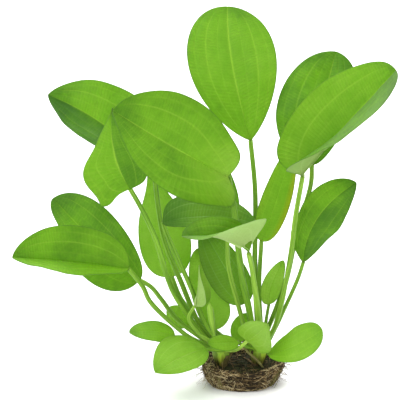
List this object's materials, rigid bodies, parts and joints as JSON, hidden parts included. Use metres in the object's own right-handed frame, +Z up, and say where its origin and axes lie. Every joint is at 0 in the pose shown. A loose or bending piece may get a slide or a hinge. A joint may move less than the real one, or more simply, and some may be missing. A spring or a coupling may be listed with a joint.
{
  "type": "echinodorus plant",
  "caption": "Potless sword plant for a water tank: a rosette of long-stalked oval leaves rising from two crowns on a flat fibrous root ball.",
  "frame": {"origin": "middle of the flat underside of the root ball, on the surface that the plant rests on", "axes": "+Z up, +X to the viewer's right in the plant's front view, +Y from front to back, so the fan of leaves spreads along X"},
  "size_m": [0.2223, 0.0989, 0.2261],
  "materials": {
    "leaf": "satin",
    "shaded_leaf": "satin",
    "young_leaf": "satin",
    "stalk": "satin",
    "crown": "matte",
    "root_mat": "matte",
    "soil": "matte",
    "root": "matte"
  },
  "bodies": {
    "root": {"root_mat": "root_mat", "soil": "soil", "crown_left": "crown", "crown_right": "crown", "root_front": "root", "root_right": "root", "root_left": "root", "stalk_tall_centre": "stalk", "blade_tall_centre": "leaf", "stalk_back_left": "stalk", "blade_back_left": "leaf", "stalk_big_front": "stalk", "blade_big_front": "leaf", "stalk_hanging_left": "stalk", "blade_hanging_left": "leaf", "stalk_low_left": "stalk", "blade_low_left": "leaf", "stalk_low_left_back": "stalk", "blade_low_left_back": "leaf", "stalk_back_upright": "stalk", "blade_back_upright": "leaf", "stalk_shaded_flat": "stalk", "blade_shaded_flat": "shaded_leaf", "stalk_folded_pale": "stalk", "blade_folded_pale": "young_leaf", "stalk_back_low": "stalk", "blade_back_low": "shaded_leaf", "stalk_centre_low": "stalk", "blade_centre_low": "leaf", "stalk_young_folded": "stalk", "blade_young_folded": "young_leaf", "stalk_right_back": "stalk", "blade_right_back": "leaf", "stalk_right_front": "stalk", "blade_right_front": "leaf", "stalk_right_inner": "stalk", "blade_right_inner": "leaf", "stalk_right_low": "stalk", "blade_right_low": "leaf", "stalk_right_small": "stalk", "blade_right_small": "leaf", "stalk_base_front": "stalk", "blade_base_front": "young_leaf", "stalk_base_right": "stalk", "blade_base_right": "leaf", "stalk_base_left": "stalk", "blade_base_left": "leaf", "stalk_base_left_front": "stalk", "blade_base_left_front": "young_leaf", "stalk_base_centre": "stalk", "blade_base_centre": "leaf", "stalk_base_back": "stalk", "blade_base_back": "leaf", "stalk_base_left_back": "stalk", "blade_base_left_back": "leaf", "stalk_hidden_back": "stalk", "blade_hidden_back": "leaf"}
  },
  "joints": []
}
